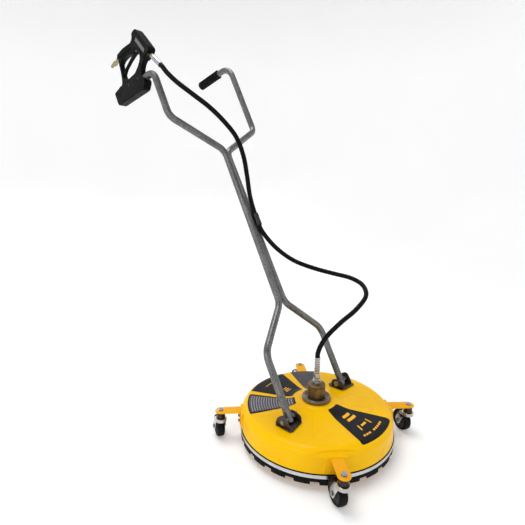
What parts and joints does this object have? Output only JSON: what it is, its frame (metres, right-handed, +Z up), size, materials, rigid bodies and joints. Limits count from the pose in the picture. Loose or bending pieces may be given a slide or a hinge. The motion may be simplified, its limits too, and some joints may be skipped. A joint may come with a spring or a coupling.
{
  "type": "rotary surface cleaner",
  "caption": "Round spray deck with a rubber skirt on swivel castors, with a bent tube push handle, a trigger gun and a hose to its rotary swivel.",
  "frame": {"origin": "on the floor under the middle of the whole machine", "axes": "+X to the operator's right, +Y forward, away from the operator, +Z up"},
  "size_m": [0.5463, 1.1319, 1.4306],
  "materials": {
    "deck_paint": "gloss yellow powder coat",
    "arm_paint": "gloss orange-yellow powder coat",
    "tube_paint": "hammered grey powder coat",
    "dark_steel": "dark grey oxide",
    "bronze": "dull bronze",
    "steel": "zinc-plated, satin",
    "band_steel": "stainless strip",
    "zinc": "bright zinc plate",
    "chrome": "bright chrome plate",
    "brass": "machined",
    "skirt_rubber": "matt",
    "wheel_rubber": "matt",
    "seal_rubber": "matt",
    "hose_rubber": "semi-matt",
    "grip_rubber": "matt, ribbed",
    "gun_plastic": "fine moulded grain",
    "label_foil": "satin"
  },
  "bodies": {
    "deck": {"deck_shell": "deck_paint", "rubber_skirt": "skirt_rubber", "clamp_band": "band_steel", "band_screw": "band_steel", "swivel_flange": "dark_steel", "swivel_body": "bronze", "upper_bearing": "steel", "lower_bearing": "steel", "shaft_seal": "seal_rubber", "inlet_adapter": "steel", "hose_nut": "steel", "lower_ferrule": "zinc", "hose_lower": "hose_rubber", "handle_bracket_right": "dark_steel", "handle_bracket_left": "dark_steel", "pivot_bolt_right": "steel", "pivot_bolt_left": "steel", "castor_arm_front_right": "arm_paint", "castor_arm_front_left": "arm_paint", "castor_arm_rear_left": "arm_paint", "castor_arm_rear_right": "arm_paint", "kingpin_front_right": "steel", "kingpin_front_left": "steel", "kingpin_rear_left": "steel", "kingpin_rear_right": "steel"},
    "rotor": {"rotor_shaft": "steel", "rotor_hub": "steel", "spray_arm_right": "steel", "spray_arm_left": "steel", "nozzle_right": "brass", "nozzle_left": "brass"},
    "handle": {"handle_tube_right": "tube_paint", "handle_tube_left": "tube_paint", "hand_grip": "grip_rubber", "hose_guide": "steel", "gun_shell_right": "gun_plastic", "gun_shell_left": "gun_plastic", "trigger_pin": "steel", "gun_valve": "brass", "gun_inlet_pipe": "brass", "gun_outlet": "brass", "gun_inlet_plug": "brass", "gun_label_plate": "label_foil", "upper_ferrule": "zinc", "hose_upper": "hose_rubber"},
    "trigger": {"gun_trigger": "gun_plastic"},
    "castor_front_right": {"castor_fork_front_right": "chrome", "castor_axle_front_right": "steel"},
    "wheel_front_right": {"castor_wheel_front_right": "wheel_rubber"},
    "castor_front_left": {"castor_fork_front_left": "chrome", "castor_axle_front_left": "steel"},
    "wheel_front_left": {"castor_wheel_front_left": "wheel_rubber"},
    "castor_rear_left": {"castor_fork_rear_left": "chrome", "castor_axle_rear_left": "steel"},
    "wheel_rear_left": {"castor_wheel_rear_left": "wheel_rubber"},
    "castor_rear_right": {"castor_fork_rear_right": "chrome", "castor_axle_rear_right": "steel"},
    "wheel_rear_right": {"castor_wheel_rear_right": "wheel_rubber"}
  },
  "joints": [
    {"name": "handle_tilt", "type": "hinge", "parent": "deck", "child": "handle", "pos_m": [0, 0.30416, 0.14671], "axis": [1, 0, 0], "range_deg": [-25, 35], "deforming": ["hose_lower"]},
    {"name": "rotor_spin", "type": "hinge", "parent": "deck", "child": "rotor", "pos_m": [0, 0.3, 0.066], "axis": [0, 0, 1], "continuous": true},
    {"name": "swivel_front_right", "type": "hinge", "parent": "deck", "child": "castor_front_right", "pos_m": [0.23271, 0.54098, 0.095], "axis": [0, 0, 1], "continuous": true},
    {"name": "roll_front_right", "type": "hinge", "parent": "castor_front_right", "child": "wheel_front_right", "pos_m": [0.21871, 0.51673, 0.0375], "axis": [0.866, -0.5, 0], "continuous": true},
    {"name": "swivel_front_left", "type": "hinge", "parent": "deck", "child": "castor_front_left", "pos_m": [-0.23271, 0.54098, 0.095], "axis": [0, 0, 1], "continuous": true},
    {"name": "roll_front_left", "type": "hinge", "parent": "castor_front_left", "child": "wheel_front_left", "pos_m": [-0.24671, 0.51673, 0.0375], "axis": [0.866, -0.5, 0], "continuous": true},
    {"name": "swivel_rear_left", "type": "hinge", "parent": "deck", "child": "castor_rear_left", "pos_m": [-0.23688, 0.06312, 0.095], "axis": [0, 0, 1], "continuous": true},
    {"name": "roll_rear_left", "type": "hinge", "parent": "castor_rear_left", "child": "wheel_rear_left", "pos_m": [-0.25088, 0.03887, 0.0375], "axis": [0.866, -0.5, 0], "continuous": true},
    {"name": "swivel_rear_right", "type": "hinge", "parent": "deck", "child": "castor_rear_right", "pos_m": [0.23688, 0.06312, 0.095], "axis": [0, 0, 1], "continuous": true},
    {"name": "roll_rear_right", "type": "hinge", "parent": "castor_rear_right", "child": "wheel_rear_right", "pos_m": [0.22288, 0.03887, 0.0375], "axis": [0.866, -0.5, 0], "continuous": true},
    {"name": "trigger_pull", "type": "hinge", "parent": "handle", "child": "trigger", "pos_m": [0.219, -0.372, 1.36], "axis": [-1, 0, 0], "range_deg": [0, 9], "stiffness_Nm_per_rad": 1, "springref_deg": -11.46}
  ]
}
